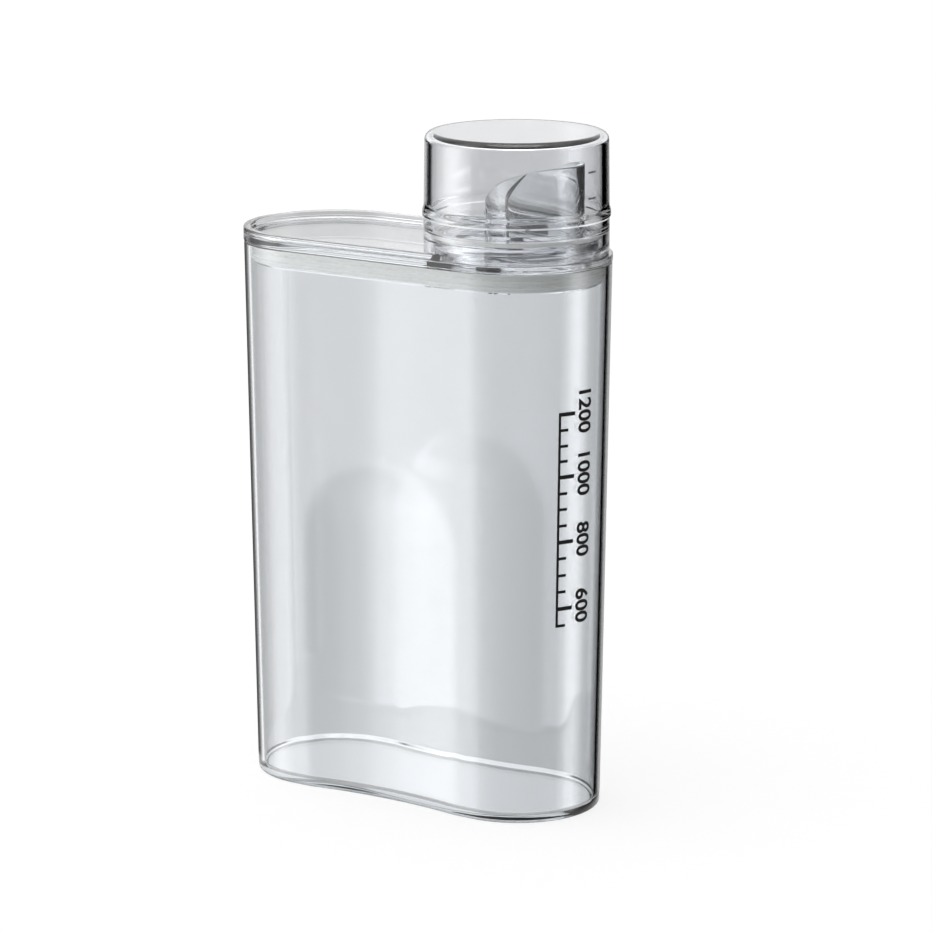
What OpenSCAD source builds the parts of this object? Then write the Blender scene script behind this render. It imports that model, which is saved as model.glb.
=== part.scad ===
// Refillable laundry detergent bottle in clear moulded plastic.
// A stadium-shaped container with two hand recesses is closed by a plug lid with a silicone gasket.
// A drain-back pouring spout sits in the lid's neck, and an upturned measuring cup screws over it as the cap.
// Frame: the origin is at the middle of the base, +Z is up and +X points to the cap end. Millimetres.

/* [Container] */
// Overall length, across the lid's outer edge
pack_l = 153.6; // [147:0.1:180]
// Overall depth, across the lid's outer edge, which is also the diameter of its round ends and of the cup's bead
pack_d = 70; // [68:0.1:78]
// Height of the container, from the floor it stands on to its rim
container_h = 209.2; // [160:0.1:260]
// How far the outline shrinks on each side from the rim down to the base, as mould draft
draft = 3.4; // [1:0.1:4.5]
// How far the container's rim lies inside the lid's edge
rim_inset = 0.2; // [0:0.05:0.6]
// Thickness of the container's wall
wall = 2.2; // [1.6:0.1:2.8]
// Thickness of the container's floor
floor_t = 2.6; // [1.6:0.1:5]
// Radius of the rounded edge round the base
base_edge = 1.3; // [0.4:0.1:2]
// Radius of the fillet inside, between the floor and the wall
floor_edge = 3; // [1:0.1:4]

/* [Hand recesses] */
// Width of the arched recess in the front and the back
grip_w = 67; // [50:1:74]
// Depth of the recess at its middle
grip_depth = 3.2; // [1:0.1:4]
// Height of the top of the arch
grip_top = 132.5; // [90:0.5:145]

/* [Lid] */
// Thickness of the lid's plate
plate_t = 2.9; // [2:0.1:4]
// How far the raised border stands above the plate
border_h = 2.6; // [1:0.1:4]
// Width of the raised border
border_w = 3.8; // [2.5:0.1:6]
// Depth of the plug wall that reaches down into the container
plug_h = 7.8; // [6:0.1:12]
// Thickness of the plug wall
plug_wall = 1.8; // [1.2:0.1:2.4]
// Radius of the rounded outer edges of the lid
lid_edge = 0.5; // [0.2:0.1:1]

/* [Lid gasket] */
// Height of the silicone gasket round the plug
gasket_h = 6.8; // [5:0.1:7]
// Thickness of the gasket behind its lips
gasket_t = 1.1; // [0.8:0.1:1.4]
// How far each wiping lip stands out from the gasket
lip_reach = 0.9; // [0.5:0.1:1]
// Number of wiping lips
lip_count = 3; // [2:1:4]
// Clearance between the lips and the container's wall
lip_gap = 0.15; // [0.1:0.05:0.3]

/* [Neck and spout] */
// How far the neck's axis is set in from the centre of the lid's round end
neck_inset = 1; // [0:0.1:3]
// Height of the neck above the lid's plate
neck_h = 5.6; // [5:0.1:9]
// Thickness of the neck's wall
neck_wall = 2.3; // [2:0.1:2.6]
// Clearance round the spout's dish where it is pushed into the neck
dish_gap = 0.05; // [0.02:0.01:0.1]
// Thickness of the wall of the spout's dish
dish_wall = 1.4; // [1:0.1:1.8]
// Thickness of the floor of the dish at its lowest side
dish_floor = 1.8; // [1.4:0.1:2.4]
// Fall of the dish's floor towards the slot, so that drips run back
dish_fall = 1.2; // [0.6:0.1:2]
// Thickness of the flange that rests on the neck
flange_t = 1.2; // [1:0.1:2]
// Outer diameter of the spout's tube
spout_d = 36.8; // [30:0.1:37.4]
// Thickness of the spout's wall
spout_wall = 2; // [1.5:0.1:2.5]
// How far the tube's axis lies beyond the neck's axis
spout_shift = 7.8; // [2:0.1:8]
// Height of the spout's tip above the lid's plate
tip_h = 34.2; // [28:0.1:38]
// Height of the mouth's low ends, beside the slot, above the lid's plate
mouth_h = 10.9; // [9:0.1:18]
// How full the curve of the mouth is: 1 is a slow rise, 2 is a quarter of an ellipse
mouth_round = 1.6; // [1:0.1:2]
// Length of the level stretch at the spout's tip
tip_flat = 2; // [1:0.1:5]
// Width of the slot that lets drips run back into the tube
slot_w = 13; // [8:0.1:18]

/* [Measuring cup] */
// Thickness of the cup's threaded skirt
skirt_wall = 2.5; // [1.8:0.1:3]
// How far the cup's wall leans in on each side, from the skirt up to the closed end
cup_taper = 0.4; // [0.2:0.1:1.2]
// Height of the cup
cup_h = 44.7; // [42:0.1:52]
// Thickness of the cup's wall
cup_wall = 2.6; // [1.8:0.1:3]
// Thickness of the cup's closed end
cup_top_t = 2.5; // [1.8:0.1:4]
// Radius of the rounded edge round the closed end
cup_edge = 3; // [1:0.1:3.5]
// Height of the skirt, from its lower edge to the line under the bead
skirt_h = 13.1; // [12:0.1:16]
// Height of the bead round the cup
bead_h = 4.2; // [3:0.1:6]
// How far the bead stands out from the skirt; the bead is as wide as the lid is deep
bead_out = 0.5; // [0.1:0.05:0.8]
// Radial room between the neck and the skirt for the thread
thread_room = 1.5; // [1.4:0.1:1.8]
// Gap between the skirt's lower edge and the lid's plate
skirt_gap = 0.3; // [0.2:0.1:0.6]
// Volume between two graduation marks, in millilitres
mark_ml = 30; // [20:5:40]
// Number of graduation marks
mark_count = 2; // [1:1:2]
// Width of a graduation mark
mark_w = 4; // [3:0.5:8]
// Height of a graduation mark's stroke
mark_t = 0.7; // [0.5:0.1:1.2]
// How far a graduation mark stands out from the wall
mark_out = 0.3; // [0.2:0.05:0.5]
// Direction in which the graduation marks face, as an angle from +X
mark_angle = -4; // [-90:1:90]

/* [Cup seal] */
// Thickness of the silicone ring between the spout's flange and the cup
seal_t = 1.4; // [1:0.1:2]
// Radial width of the silicone ring
seal_w = 2.6; // [2:0.1:3.2]
// Clearance between the ring and the cup that turns on it
seal_gap = 0.2; // [0.1:0.05:0.3]
// Thickness and depth of the rib inside the cup that presses on the ring
seal_rib = 1.2; // [1:0.1:1.6]

/* [Hidden] */
$fn = 96;

// Solids that cut reach past the faces that they cut by this much
cut = 1;
// Straight pieces that stand for an arc in a profile
arc_steps = 5;
// Straight pieces that stand for the curve of the spout's mouth
mouth_steps = 20;
// Cubic millimetres in a millilitre
mm3_per_ml = 1000;

// Outline of the pack: two round ends of radius end_r, whose centres lie at x = -end_x and end_x
end_r = pack_d / 2;
end_x = (pack_l - pack_d) / 2;

// Container
rim_r = end_r - rim_inset;
base_r = rim_r - draft;
cavity_rim_r = rim_r - wall;

// A recess is part of a cylinder that leans with the wall, closed by a sphere of the same radius
grip_r = (pow(grip_w / 2, 2) + pow(grip_depth, 2)) / (2 * grip_depth);
grip_centre_h = grip_top - grip_w / 2;
draft_angle = atan(draft / container_h);

// Lid
plate_top = container_h + plate_t;
plug_bottom = container_h - plug_h;
gasket_top = container_h;
gasket_bottom = gasket_top - gasket_h;
plug_r = wall_r(gasket_bottom) - lip_gap - lip_reach - gasket_t;
plug_bead_r = plug_r + gasket_t;

// Neck and spout; the neck's radius follows from the skirt that screws over it
skirt_r = end_r - bead_out;
skirt_bore_r = skirt_r - skirt_wall;
neck_x = end_x - neck_inset;
neck_r = skirt_bore_r - thread_room;
neck_bore_r = neck_r - neck_wall;
neck_top = plate_top + neck_h;
dish_r = neck_bore_r - dish_gap;
dish_bottom = container_h;
dish_low = dish_bottom + dish_floor;
flange_top = neck_top + flange_t;
spout_x = neck_x + spout_shift;
spout_r = spout_d / 2;
spout_bore_r = spout_r - spout_wall;
slot_x = sqrt(pow(spout_r, 2) - pow(slot_w / 2, 2));

// Measuring cup and seal
skirt_z = plate_top + skirt_gap;
cup_top_z = skirt_z + cup_h;
cup_top_r = skirt_r - cup_taper;
ring_z = skirt_z + skirt_h;
bead_top_z = ring_z + bead_h;
seal_top = flange_top + seal_t;
seal_r = skirt_bore_r - seal_gap;
rib_z = seal_top + seal_gap;
rib_top_z = rib_z + seal_rib;
cup_inner_top_z = cup_top_z - cup_top_t;
cup_inner_top_r = cup_top_r - cup_wall;
mark_step = mark_ml * mm3_per_ml / (PI * pow(cup_inner_top_r, 2));

// Radius of the container's cavity ends at height z
function wall_r(z) = cavity_rim_r - draft * (container_h - z) / container_h;

// Outer radius of the cup at height z, between its bead and its closed end
function cup_r(z) = skirt_r - cup_taper * (z - ring_z) / (cup_top_z - ring_z);

// Points of a quarter circle of radius r about c, from angle a0 to a1
function arc(c, r, a0, a1) =
    [for (i = [0:arc_steps]) c + r * [cos(a0 + (a1 - a0) * i / arc_steps), sin(a0 + (a1 - a0) * i / arc_steps)]];

// Height of the spout's mouth above the plate at u, from 0 beside the slot to 1 at its tip
function mouth_z(u) = mouth_h + (tip_h - mouth_h) * sqrt(1 - pow(1 - u, mouth_round));

// A solid with straight sides and round ends whose wall follows half_profile, a list of [radius, height]
module stadium(half_profile) {
    for (side = [-1, 1])
        translate([side * end_x, 0, 0])
            rotate_extrude()
                polygon(half_profile);
    for (side = [0, 1])
        mirror([0, side, 0])
            rotate([90, 0, 90])
                linear_extrude(2 * end_x, center = true)
                    polygon(half_profile);
}

// A plain stadium prism of end radius r from z0 to z1
module stadium_plate(r, z0, z1) {
    stadium([[0, z0], [r, z0], [r, z1], [0, z1]]);
}

// The form that sinks the hand recesses, grown by the wall's thickness inside the container
module grip_form(grow) {
    centre_y = base_r + grip_r - grip_depth;
    for (side = [0, 1])
        mirror([0, side, 0])
            translate([0, -centre_y, 0])
                rotate([draft_angle, 0, 0])
                    union() {
                        translate([0, 0, -container_h / 2])
                            cylinder(r = grip_r + grow, h = container_h / 2 + grip_centre_h, $fn = 180);
                        translate([0, 0, grip_centre_h])
                            sphere(r = grip_r + grow, $fn = 180);
                    }
}

// Clear container with drafted walls, a rounded base edge and the two hand recesses
module container() {
    color([0.80, 0.83, 0.85, 0.35])
        difference() {
            stadium(concat(
                [[0, 0]],
                arc([base_r - base_edge, base_edge], base_edge, -90, 0),
                [[rim_r, container_h], [0, container_h]]
            ));
            grip_form(0);
            difference() {
                stadium(concat(
                    [[0, floor_t]],
                    arc([wall_r(floor_t + floor_edge) - floor_edge, floor_t + floor_edge], floor_edge, -90, 0),
                    [[cavity_rim_r, container_h], [cavity_rim_r, container_h + cut], [0, container_h + cut]]
                ));
                grip_form(wall);
            }
        }
}

// Clear plug lid: a plate with a raised border, a plug wall below it and the threaded neck
module lid() {
    color([0.82, 0.86, 0.87, 0.4])
        difference() {
            union() {
                stadium(concat(
                    [[0, container_h]],
                    arc([end_r - lid_edge, container_h + lid_edge], lid_edge, -90, 0),
                    [[end_r, plate_top], [0, plate_top]]
                ));
                border();
                plug();
                translate([neck_x, 0, plate_top - cut])
                    cylinder(r = neck_r, h = neck_h + cut);
            }
            translate([neck_x, 0, container_h - cut])
                cylinder(r = neck_bore_r, h = plate_t + neck_h + 2 * cut);
        }
}

// Raised border of the lid, open where the measuring cup stands
module border() {
    top = plate_top + border_h;
    difference() {
        stadium(concat(
            [[0, container_h + lid_edge], [end_r, container_h + lid_edge]],
            arc([end_r - lid_edge, top - lid_edge], lid_edge, 0, 90),
            [[0, top]]
        ));
        stadium_plate(end_r - border_w, plate_top, top + cut);
        translate([neck_x, 0, plate_top])
            cylinder(r = end_r + skirt_gap, h = border_h + cut);
        translate([neck_x, -end_r, plate_top])
            cube([pack_d, pack_d, border_h + cut]);
    }
}

// Plug wall with the bead that keeps the gasket on it
module plug() {
    difference() {
        union() {
            stadium_plate(plug_r, plug_bottom, container_h + cut);
            stadium([
                [0, plug_bottom],
                [plug_r, plug_bottom],
                [plug_bead_r, gasket_bottom],
                [0, gasket_bottom]
            ]);
        }
        stadium_plate(plug_r - plug_wall, plug_bottom - cut, container_h);
    }
}

// Silicone gasket with wiping lips that reach the container's wall
module lid_gasket() {
    pitch = gasket_h / lip_count;
    back_r = plug_r + gasket_t;
    color([0.82, 0.82, 0.80])
        difference() {
            stadium(concat(
                [[0, gasket_bottom], [back_r, gasket_bottom]],
                [for (i = [0:lip_count - 1], p = lip(i, pitch, back_r)) p],
                [[back_r, gasket_top], [0, gasket_top]]
            ));
            stadium_plate(plug_r, gasket_bottom - cut, gasket_top + cut);
        }
}

// Outline of wiping lip i, counted upwards: it points up and out to the wall
function lip(i, pitch, back_r) =
    let (z = gasket_bottom + (i + 0.2) * pitch)
        [
            [back_r, z],
            [back_r + lip_reach, z + pitch * 0.45],
            [back_r + lip_reach, z + pitch * 0.6],
            [back_r, z + pitch * 0.7]
        ];

// Drain-back pouring spout: a dish that rests in the neck and a slotted tube with a slanted mouth
module pour_spout() {
    color([0.84, 0.87, 0.88, 0.45])
        difference() {
            union() {
                dish();
                spout_tube();
            }
            translate([spout_x, 0, dish_bottom - cut])
                cylinder(r = spout_bore_r, h = tip_h + plate_t + 2 * cut);
            translate([spout_x - spout_r - cut, -slot_w / 2, dish_low])
                cube([spout_r + cut, slot_w, tip_h + plate_t]);
        }
}

// Flange, wall and sloping floor that catch the drips
module dish() {
    translate([neck_x, 0, 0])
        difference() {
            union() {
                translate([0, 0, dish_bottom])
                    cylinder(r = dish_r, h = flange_top - dish_bottom);
                translate([0, 0, neck_top])
                    cylinder(r = neck_r, h = flange_t);
            }
            intersection() {
                translate([0, 0, dish_low])
                    cylinder(r = dish_r - dish_wall, h = flange_top - dish_low + cut);
                rotate([90, 0, 0])
                    linear_extrude(2 * neck_r, center = true)
                        polygon([
                            [-dish_r, dish_low],
                            [dish_r, dish_low + dish_fall],
                            [dish_r, flange_top + cut],
                            [-dish_r, flange_top + cut]
                        ]);
            }
        }
}

// Upright tube whose mouth rises in a curve from the slot to the tip
module spout_tube() {
    rise = slot_x + spout_r - tip_flat;
    // The steps are short beside the slot, where the curve is steep
    curve = [for (i = [0:mouth_steps]) pow(i / mouth_steps, 2)];
    translate([spout_x, 0, 0])
        intersection() {
            translate([0, 0, dish_bottom])
                cylinder(r = spout_r, h = tip_h + plate_t + cut);
            rotate([90, 0, 0])
                linear_extrude(spout_d + cut, center = true)
                    polygon(concat(
                        [[-spout_r, dish_bottom], [-spout_r, plate_top + mouth_h]],
                        [for (u = curve) [-slot_x + rise * u, plate_top + mouth_z(u)]],
                        [[spout_r, plate_top + tip_h], [spout_r, dish_bottom]]
                    ));
        }
}

// Silicone ring that the cup presses on the spout's flange
module cup_seal() {
    color([0.86, 0.87, 0.86])
        translate([neck_x, 0, flange_top])
            difference() {
                cylinder(r = seal_r, h = seal_t);
                translate([0, 0, -cut])
                    cylinder(r = seal_r - seal_w, h = seal_t + 2 * cut);
            }
}

// Measuring cup, upside down over the spout, with its skirt, bead, sealing rib and graduation marks
module measuring_cup() {
    color([0.82, 0.85, 0.87, 0.35])
        translate([neck_x, 0, 0]) {
            difference() {
                rotate_extrude()
                    polygon(concat(
                        [[0, skirt_z], [skirt_r, skirt_z], [skirt_r, ring_z]],
                        [[end_r, ring_z], [end_r, bead_top_z - bead_out]],
                        [[cup_r(bead_top_z), bead_top_z], [cup_r(cup_top_z - cup_edge), cup_top_z - cup_edge]],
                        arc([cup_top_r - cup_edge, cup_top_z - cup_edge], cup_edge, 0, 90),
                        [[0, cup_top_z]]
                    ));
                cup_hollow();
            }
            marks();
        }
}

// Inside of the cup: the threaded skirt, the sealing rib and the tapered measure above it
module cup_hollow() {
    rib_r = skirt_bore_r - seal_rib;
    measure_r = cup_r(bead_top_z) - cup_wall;
    inner_edge = cup_edge / 2;
    rotate_extrude()
        polygon(concat(
            [[0, skirt_z - cut], [skirt_bore_r, skirt_z - cut], [skirt_bore_r, rib_z]],
            [[rib_r, rib_z], [rib_r, rib_top_z], [measure_r, rib_top_z + seal_rib]],
            [[measure_r, bead_top_z]],
            arc([cup_inner_top_r - inner_edge, cup_inner_top_z - inner_edge], inner_edge, 0, 90),
            [[0, cup_inner_top_z]]
        ));
}

// Raised graduation strokes, each mark_ml further from the cup's closed end
module marks() {
    for (i = [1:mark_count]) {
        z = cup_inner_top_z - i * mark_step;
        rotate([0, 0, mark_angle])
            intersection() {
                difference() {
                    translate([0, 0, z - mark_t / 2])
                        cylinder(r = cup_r(z) + mark_out, h = mark_t);
                    translate([0, 0, z - mark_t])
                        cylinder(r = cup_r(z) - cup_wall / 2, h = 2 * mark_t);
                }
                translate([0, -mark_w / 2, z - mark_t])
                    cube([pack_d, mark_w, 2 * mark_t]);
            }
    }
}

container();
lid();
lid_gasket();
pour_spout();
cup_seal();
measuring_cup();
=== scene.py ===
# %% [markdown]
# # A clear laundry detergent bottle
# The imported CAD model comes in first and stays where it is. Everything that follows is made in metres,
# in the same frame: +Z is up, +X points to the measuring cup and the base stands on z = 0.

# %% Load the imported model
import math

import bmesh
import bpy
import numpy as np
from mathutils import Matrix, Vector


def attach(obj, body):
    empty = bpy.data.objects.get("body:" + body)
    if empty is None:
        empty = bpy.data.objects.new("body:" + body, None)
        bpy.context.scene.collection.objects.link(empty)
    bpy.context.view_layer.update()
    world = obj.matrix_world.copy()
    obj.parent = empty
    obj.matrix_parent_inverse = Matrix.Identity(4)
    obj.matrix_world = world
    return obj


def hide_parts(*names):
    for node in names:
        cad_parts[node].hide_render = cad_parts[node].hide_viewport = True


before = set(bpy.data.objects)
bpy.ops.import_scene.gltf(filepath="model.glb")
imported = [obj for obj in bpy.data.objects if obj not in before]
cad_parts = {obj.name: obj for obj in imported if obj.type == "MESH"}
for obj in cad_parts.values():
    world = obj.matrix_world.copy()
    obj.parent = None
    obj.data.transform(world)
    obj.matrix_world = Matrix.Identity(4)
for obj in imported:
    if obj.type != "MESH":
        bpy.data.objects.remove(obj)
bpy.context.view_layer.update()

# %% [markdown]
# ## Camera
# The picture was taken with a long lens from the front right, a little above the bottle. The azimuth,
# height, distance and lens were solved from the outlines of the cap, the lid and the base.

# %% Camera
MM = 0.001
AZIMUTH = math.radians(33.72)
ELEVATION = math.radians(12.77)
DISTANCE = 1599.62 * MM
LENS = 162.15
AIM_RIGHT = 15.19 * MM
AIM_HEIGHT = 125.23 * MM

camera = bpy.data.objects.new("photo_camera", bpy.data.cameras.new("photo_camera"))
bpy.context.scene.collection.objects.link(camera)
bpy.context.scene.camera = camera
camera.data.lens = LENS
right = Vector((math.cos(AZIMUTH), math.sin(AZIMUTH), 0))
back = Vector((math.sin(AZIMUTH) * math.cos(ELEVATION),
               -math.cos(AZIMUTH) * math.cos(ELEVATION), math.sin(ELEVATION)))
camera.location = right * AIM_RIGHT + Vector((0, 0, AIM_HEIGHT)) + back * DISTANCE
camera.rotation_mode = "QUATERNION"
camera.rotation_quaternion = (-back).to_track_quat("-Z", "Y")
print("camera at", camera.location)

# %% [markdown]
# ## Shared dimensions
# The CAD source's sizes are repeated in millimetres, because a scene can't read it. Those that several
# pieces share stand here and the others with their piece. Two round ends of radius END_R, whose centres
# lie END_X from the middle, make the stadium outline of the whole pack.

# %% Shared dimensions in millimetres
END_R, END_X = 35.0, 41.8
CONTAINER_H = 209.2
PLATE_TOP = CONTAINER_H + 2.9
NECK_X, NECK_R, NECK_BORE_R, NECK_H = 40.8, 30.5, 28.2, 5.6
NECK_TOP = PLATE_TOP + NECK_H
FLANGE_TOP = NECK_TOP + 1.2
SKIRT_GAP = 0.3
SKIRT_Z = PLATE_TOP + SKIRT_GAP
PLUG_R, GASKET_H, GASKET_T = 30.34, 6.8, 1.1
SEAL_T, SEAL_GAP = 1.4, 0.2
# Pieces that touch are held this far apart, so that no two clear surfaces lie in one place
HAIR = 0.03
print("plate top", PLATE_TOP, "flange top", FLANGE_TOP)

# %% [markdown]
# ## How the mouldings are made
# Every part of this bottle is a cross-section that a mould carries round an outline: a circle for the
# cup, a stadium for the container. The same is done here. A profile of radius and height points goes
# round a ring of spokes. Each corner of a profile is rounded, as a mould leaves it, and a point is put
# just beside each rounding, so that flat faces shade flat.

# %% Profiles with rounded corners
# Turn of each step round a corner, and the share of an edge that a rounding may take
STEP_TURN, EDGE_SHARE = math.radians(16), 0.45
# How far beside a rounding its extra point lies: a share of the edge, up to a length
BESIDE_SHARE, BESIDE_MOST = 0.04, 0.15


def rounded(corners, closed):
    """Corners (r, z, radius) in mm to a finer list of (r, z); an open profile keeps its two ends sharp."""
    points, count = [], len(corners)
    for i, (r, z, radius) in enumerate(corners):
        here = np.array((r, z), float)
        if radius == 0 or (not closed and i in (0, count - 1)):
            points.append(tuple(here))
            continue
        before = np.array(corners[i - 1][:2], float) - here
        after = np.array(corners[(i + 1) % count][:2], float) - here
        reach_b, reach_a = np.linalg.norm(before), np.linalg.norm(after)
        before, after = before / reach_b, after / reach_a
        half = math.acos(max(-1, min(1, float(before @ after)))) / 2
        run = min(radius / math.tan(half), EDGE_SHARE * reach_b, EDGE_SHARE * reach_a)
        radius = run * math.tan(half)
        centre = here + (before + after) / np.linalg.norm(before + after) * radius / math.sin(half)
        start, end = here + before * run, here + after * run
        beside = min(BESIDE_MOST, BESIDE_SHARE * min(reach_b, reach_a))
        points.append(tuple(start + before * beside))
        turn = math.pi - 2 * half
        steps = max(2, math.ceil(turn / STEP_TURN))
        a, b = start - centre, end - centre
        for k in range(steps + 1):
            t = k / steps
            w = (math.sin((1 - t) * turn) * a + math.sin(t * turn) * b) / math.sin(turn)
            points.append(tuple(centre + w))
        points.append(tuple(end + after * beside))
    return points


def with_rows(profile, z0, z1, pitch):
    """Splits the steep stretches of a profile between z0 and z1 so that no piece is longer than pitch."""
    rows = [profile[0]]
    for (r0, a), (r1, b) in zip(profile, profile[1:]):
        inside = min(a, b) >= z0 and max(a, b) <= z1
        cuts = max(1, math.ceil(math.hypot(r1 - r0, b - a) / pitch)) if inside else 1
        rows += [(r0 + (r1 - r0) * k / cuts, a + (b - a) * k / cuts) for k in range(1, cuts + 1)]
    return rows


# %% [markdown]
# ## Rings
# A ring is a list of spokes. Each spoke has a centre on the bottle's long axis and a direction, so one
# list serves for a circle and for the stadium, whose two halves turn about different centres.

# %% Rings of spokes
def round_ring(centre_x, count):
    """Spokes (centre x, cosine, sine) of a full circle."""
    turns = [2 * math.pi * k / count for k in range(count)]
    return [(centre_x, math.cos(t), math.sin(t)) for t in turns]


def stadium_ring(arc_count, side_count):
    """Spokes of the stadium outline: two half circles joined by two straight sides."""
    ring = []
    for side, first in ((1, -90), (-1, 90)):
        for k in range(arc_count + 1):
            t = math.radians(first + 180 * k / arc_count)
            ring.append((side * END_X, math.cos(t), math.sin(t)))
        for k in range(1, side_count):
            ring.append((side * END_X * (1 - 2 * k / side_count), 0.0, float(side)))
    return ring


# %% [markdown]
# ## Sweeping a profile
# The sweep puts every profile point on every spoke and joins neighbours with four-sided faces. A reshape
# function may then move the points, for a hand recess or a thread. Joints between two sweeps, such as
# neck and plate, are made by exact cutting and joining, as a lathe and glue would make a pattern.

# %% A mesh from points
# Points closer than this are one point
JOIN_DISTANCE = 0.002


def piece(name, verts, faces):
    """A smooth-shaded mesh object from points in millimetres, with doubled points joined."""
    mesh = bpy.data.meshes.new(name)
    mesh.from_pydata([tuple(c * MM for c in v) for v in verts], [], faces)
    bm = bmesh.new()
    bm.from_mesh(mesh)
    bmesh.ops.remove_doubles(bm, verts=bm.verts, dist=JOIN_DISTANCE * MM)
    bmesh.ops.recalc_face_normals(bm, faces=bm.faces)
    bm.to_mesh(mesh)
    bm.free()
    mesh.shade_smooth()
    made = bpy.data.objects.new(name, mesh)
    bpy.context.scene.collection.objects.link(made)
    return made


# %% Sweep
def sweep(name, profile, ring, closed=False, reshape=None):
    """Carries a profile round a ring of spokes. reshape(x, y, z, r) may move the points, all in mm."""
    r, z = np.array(profile, float).T
    cx, c, s = np.array(ring, float).T
    x = cx[:, None] + c[:, None] * r
    y = s[:, None] * r
    height = np.broadcast_to(z, x.shape).copy()
    if reshape:
        x, y, height = reshape(x, y, height, np.broadcast_to(r, x.shape))
    verts = np.stack([x.ravel(), y.ravel(), height.ravel()], 1)
    n, m = len(ring), len(profile)
    steps = m if closed else m - 1
    faces = [(i * m + j, (i + 1) % n * m + j, (i + 1) % n * m + (j + 1) % m, i * m + (j + 1) % m)
             for i in range(n) for j in range(steps)]
    return piece(name, verts.tolist(), faces)


def round_tool(name, centre_x, radius, low, high, count):
    """A plain round plug that cuts a bore or a seat."""
    return sweep(name, [(0, low), (radius, low), (radius, high), (0, high)], round_ring(centre_x, count))


# %% Cutting and joining
def carve(base, tool, operation):
    """Joins or cuts two solids exactly, keeps the result in base and throws the tool away."""
    step = base.modifiers.new("carve", "BOOLEAN")
    step.operation, step.solver, step.object = operation, "EXACT", tool
    graph = bpy.context.evaluated_depsgraph_get()
    mesh = bpy.data.meshes.new_from_object(base.evaluated_get(graph))
    base.modifiers.clear()
    base.data = mesh
    bpy.data.objects.remove(tool)
    return base


def crisp(made, degrees=32):
    """Keeps edges sharper than this angle crisp, after a cut has made some."""
    made.data.set_sharp_from_angle(angle=math.radians(degrees))
    return made


# %% [markdown]
# ## Container
# One deep moulding with a 2.2 mm wall, leaning in by 0.9 degrees towards the base so that it comes off
# its core. An arched hand recess sinks 3.2 mm into the front and the back. In the CAD model its edge is
# a crease; on the real bottle it melts into the wall, so the depth here fades out over a few millimetres.
# That is the reason for making the wall a fine grid instead of cutting the recess with a solid.

# %% Container sizes
DRAFT, RIM_INSET, WALL = 3.4, 0.2, 2.2
FLOOR_T, BASE_EDGE = 2.6, 1.3
GRIP_W, GRIP_DEPTH, GRIP_TOP = 67.0, 3.2, 132.5
GRIP_R = ((GRIP_W / 2) ** 2 + GRIP_DEPTH ** 2) / (2 * GRIP_DEPTH)
GRIP_CENTRE_H = GRIP_TOP - GRIP_W / 2
# Softness of the recess's edge, as a depth
GRIP_SOFT = 0.35
RIM_R = END_R - RIM_INSET
BASE_R = RIM_R - DRAFT
print("radius of the recess's curve", round(GRIP_R, 1))


# %% Container walls
def wall_r(z):
    """Radius of the cavity's round ends at height z."""
    return RIM_R - WALL - DRAFT * (CONTAINER_H - z) / CONTAINER_H


def grip_depth_at(x, z):
    """How far the wall is sunk at x, z, with the edge of the recess faded out."""
    rho = np.where(z < GRIP_CENTRE_H, np.abs(x), np.hypot(x, z - GRIP_CENTRE_H))
    plain = np.sqrt(np.maximum(GRIP_R ** 2 - rho ** 2, 0)) - (GRIP_R - GRIP_DEPTH)
    return (plain + np.sqrt(plain ** 2 + GRIP_SOFT ** 2)) / 2


def sink_grip(x, y, z, r):
    """Moves the front and back walls inwards, with all that lies inside them in proportion."""
    outer = BASE_R + DRAFT * z / CONTAINER_H
    side = np.where(r > outer - WALL / 2, outer, outer - WALL)
    return x, y * (1 - grip_depth_at(x, z) / side), z


# %% Container
# A short slope at the foot of the cavity, where the CAD model has a fillet, draws the light line
FOOT_SLOPE = 1.5
FOOT_TOP = FLOOR_T + FOOT_SLOPE
# The fine rows end a little above the recess. Rows are this long in them and above them
FINE_TOP, FINE_ROW, PLAIN_ROW = GRIP_TOP + 9, 1.7, 9
RIM_ROUND, FOOT_ROUND = 0.45, 0.5
container_profile = rounded([
    (0, 0, 0),
    (BASE_R, 0, BASE_EDGE),
    (wall_r(FINE_TOP) + WALL, FINE_TOP, 0),
    (RIM_R, CONTAINER_H - HAIR, RIM_ROUND),
    (RIM_R - WALL, CONTAINER_H - HAIR, RIM_ROUND),
    (wall_r(FINE_TOP), FINE_TOP, 0),
    (wall_r(FOOT_TOP), FOOT_TOP, FOOT_ROUND),
    (wall_r(FLOOR_T) - FOOT_SLOPE, FLOOR_T, FOOT_ROUND),
    (0, FLOOR_T, 0)], closed=False)
container_profile = with_rows(container_profile, 0.5, FINE_TOP, FINE_ROW)
container_profile = with_rows(container_profile, FINE_TOP, CONTAINER_H, PLAIN_ROW)
container = sweep("container_shell", container_profile, stadium_ring(56, 50), reshape=sink_grip)
print("container points", len(container.data.vertices))

# %% [markdown]
# ## Lid
# One clear moulding: a plate with a raised border round it, a plug wall that reaches into the container
# and a threaded neck. Plate, border and plug are one profile round the stadium. The neck is a second
# one round a circle, joined on, and the place where the cup stands is cut out of the border.

# %% Screw thread
THREAD_PITCH, THREAD_HALF = 4.0, 1.1
# Share of a ridge's half width that is its flank, and the turns over which its ends fade
FLANK, FADE_TURNS = 0.55, 0.06


def ridge(angle, z, z_start, turns, height):
    """Height of a screw thread's ridge at an angle and a height; it fades in and out at its ends."""
    out = np.zeros(np.broadcast(angle, z).shape)
    for lap in range(math.ceil(turns) + 1):
        along = (angle % (2 * math.pi)) / (2 * math.pi) + lap
        off = np.abs(z - (z_start + along * THREAD_PITCH)) / THREAD_HALF
        fade = np.clip(np.minimum(along, turns - along) / FADE_TURNS, 0, 1)
        out = np.maximum(out, height * np.clip((1.0 - off) / FLANK, 0, 1) * fade)
    return out


NECK_RIDGE = 0.35


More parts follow.
